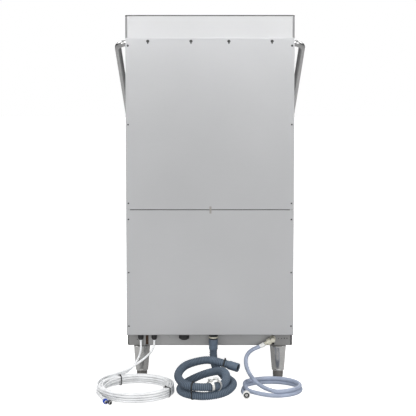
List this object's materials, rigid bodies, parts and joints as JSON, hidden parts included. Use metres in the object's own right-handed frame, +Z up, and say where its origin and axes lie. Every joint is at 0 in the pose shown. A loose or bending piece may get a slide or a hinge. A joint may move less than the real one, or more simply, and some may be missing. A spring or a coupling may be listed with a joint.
{
  "type": "commercial dishwasher",
  "caption": "Hood-type commercial dishwasher with lifting hood, U-shaped handle, levelling feet, and drain, inlet and dosing hoses coiled behind it.",
  "frame": {"origin": "on the floor under the middle of the machine, hoses left out", "axes": "+Z up, +Y to the service side at the rear, +X to the operator's right at the front"},
  "size_m": [0.779, 1.0675, 1.39],
  "materials": {
    "stainless_brushed": "fine vertical brushed grain",
    "stainless_polished": "smooth satin",
    "dark_steel": "dull",
    "cast_aluminium": "cast",
    "black_plastic": "matt moulded",
    "grey_box": "matt moulded",
    "insulation": "foam jacket",
    "cream_plastic": "moulded nylon",
    "drain_hose": "corrugated soft plastic",
    "inlet_hose": "smooth woven-reinforced plastic",
    "white_tube": "smooth tube",
    "blue_plastic": "moulded"
  },
  "bodies": {
    "body": {"side_panel_left": "stainless_brushed", "side_panel_right": "stainless_brushed", "front_panel": "stainless_brushed", "control_panel": "stainless_brushed", "rear_panel_upper": "stainless_brushed", "rear_panel_lower": "stainless_brushed", "rear_column": "stainless_brushed", "wash_tank": "stainless_brushed", "tank_filter": "stainless_brushed", "base_frame": "stainless_brushed", "leg_front_left": "stainless_polished", "leg_rear_left": "stainless_polished", "leg_front_right": "stainless_polished", "leg_rear_right": "stainless_polished", "guide_post_left": "stainless_polished", "guide_post_right": "stainless_polished", "wash_heater": "stainless_polished", "rack_guide": "stainless_polished", "spray_manifold": "stainless_polished", "spring_left": "dark_steel", "spring_right": "dark_steel", "wash_pump": "cast_aluminium", "tube_gland_detergent": "black_plastic", "tube_gland_rinse_aid": "black_plastic", "power_gland": "black_plastic", "drain_spigot": "black_plastic", "dosing_unit": "black_plastic", "inlet_valve": "black_plastic", "dosing_end_rinse_aid": "black_plastic", "electrical_box": "grey_box", "rinse_boiler": "insulation", "inlet_elbow": "cream_plastic", "inlet_hose_nut": "cream_plastic", "drain_hose_lead": "drain_hose", "drain_hose_coil": "drain_hose", "drain_hose_end": "drain_hose", "inlet_hose_lead": "inlet_hose", "inlet_hose_coil": "inlet_hose", "dosing_lead_detergent": "white_tube", "dosing_lead_rinse_aid": "white_tube", "dosing_coil": "white_tube", "dosing_end_detergent": "blue_plastic"},
    "hood": {"hood_shell": "stainless_brushed", "hood_carriage": "stainless_brushed"},
    "handle": {"handle_tube": "stainless_polished", "pivot_shaft": "stainless_polished"},
    "roller_left": {"roller_left": "black_plastic"},
    "roller_right": {"roller_right": "black_plastic"},
    "lower_wash_arm": {"lower_wash_arm": "stainless_polished"},
    "lower_rinse_arm": {"lower_rinse_arm": "stainless_polished"},
    "upper_wash_arm": {"upper_wash_arm": "stainless_polished"},
    "upper_rinse_arm": {"upper_rinse_arm": "stainless_polished"},
    "button_power": {"button_power": "black_plastic"},
    "button_cycle": {"button_cycle": "black_plastic"},
    "button_start": {"button_start": "black_plastic"},
    "foot_front_left": {"foot_front_left": "dark_steel"},
    "foot_rear_left": {"foot_rear_left": "dark_steel"},
    "foot_front_right": {"foot_front_right": "dark_steel"},
    "foot_rear_right": {"foot_rear_right": "dark_steel"},
    "drain_standpipe": {"drain_standpipe": "black_plastic"}
  },
  "joints": [
    {"name": "hood_lift", "type": "slide", "parent": "body", "child": "hood", "axis": [0, 0, 1], "range_m": [0, 0.43]},
    {"name": "handle_swing", "type": "hinge", "parent": "body", "child": "handle", "pos_m": [0, 0.321, 1.281], "axis": [-1, 0, 0], "range_deg": [0, 54], "deforming": ["spring_left", "spring_right"]},
    {"name": "roller_left_spin", "type": "hinge", "parent": "handle", "child": "roller_left", "pos_m": [0.3325, -0.09909, 1.06232], "axis": [1, 0, 0], "continuous": true},
    {"name": "roller_right_spin", "type": "hinge", "parent": "handle", "child": "roller_right", "pos_m": [-0.3325, -0.09909, 1.06232], "axis": [1, 0, 0], "continuous": true},
    {"name": "lower_wash_arm_spin", "type": "hinge", "parent": "body", "child": "lower_wash_arm", "pos_m": [0, -0.018, 0.774], "axis": [0, 0, 1], "continuous": true},
    {"name": "lower_rinse_arm_spin", "type": "hinge", "parent": "body", "child": "lower_rinse_arm", "pos_m": [0, -0.018, 0.793], "axis": [0, 0, 1], "continuous": true},
    {"name": "upper_wash_arm_spin", "type": "hinge", "parent": "body", "child": "upper_wash_arm", "pos_m": [0, -0.018, 1.264], "axis": [0, 0, 1], "continuous": true},
    {"name": "upper_rinse_arm_spin", "type": "hinge", "parent": "body", "child": "upper_rinse_arm", "pos_m": [0, -0.018, 1.245], "axis": [0, 0, 1], "continuous": true},
    {"name": "button_power_press", "type": "slide", "parent": "body", "child": "button_power", "axis": [0, 1, 0], "range_m": [0, 0.003], "stiffness_N_per_m": 300},
    {"name": "button_cycle_press", "type": "slide", "parent": "body", "child": "button_cycle", "axis": [0, 1, 0], "range_m": [0, 0.003], "stiffness_N_per_m": 300},
    {"name": "button_start_press", "type": "slide", "parent": "body", "child": "button_start", "axis": [0, 1, 0], "range_m": [0, 0.003], "stiffness_N_per_m": 300},
    {"name": "foot_front_left_level", "type": "slide", "parent": "body", "child": "foot_front_left", "axis": [0, 0, -1], "range_m": [0, 0.03]},
    {"name": "foot_front_right_level", "type": "slide", "parent": "body", "child": "foot_front_right", "axis": [0, 0, -1], "range_m": [0, 0.03]},
    {"name": "foot_rear_left_level", "type": "slide", "parent": "body", "child": "foot_rear_left", "axis": [0, 0, -1], "range_m": [0, 0.03]},
    {"name": "foot_rear_right_level", "type": "slide", "parent": "body", "child": "foot_rear_right", "axis": [0, 0, -1], "range_m": [0, 0.03]},
    {"name": "standpipe_lift", "type": "slide", "parent": "body", "child": "drain_standpipe", "axis": [0, 0, 1], "range_m": [0, 0.25]}
  ],
  "couplings": [
    {"joint": "handle_swing", "follows": "hood_lift", "rad_per_m": 2.1918}
  ]
}
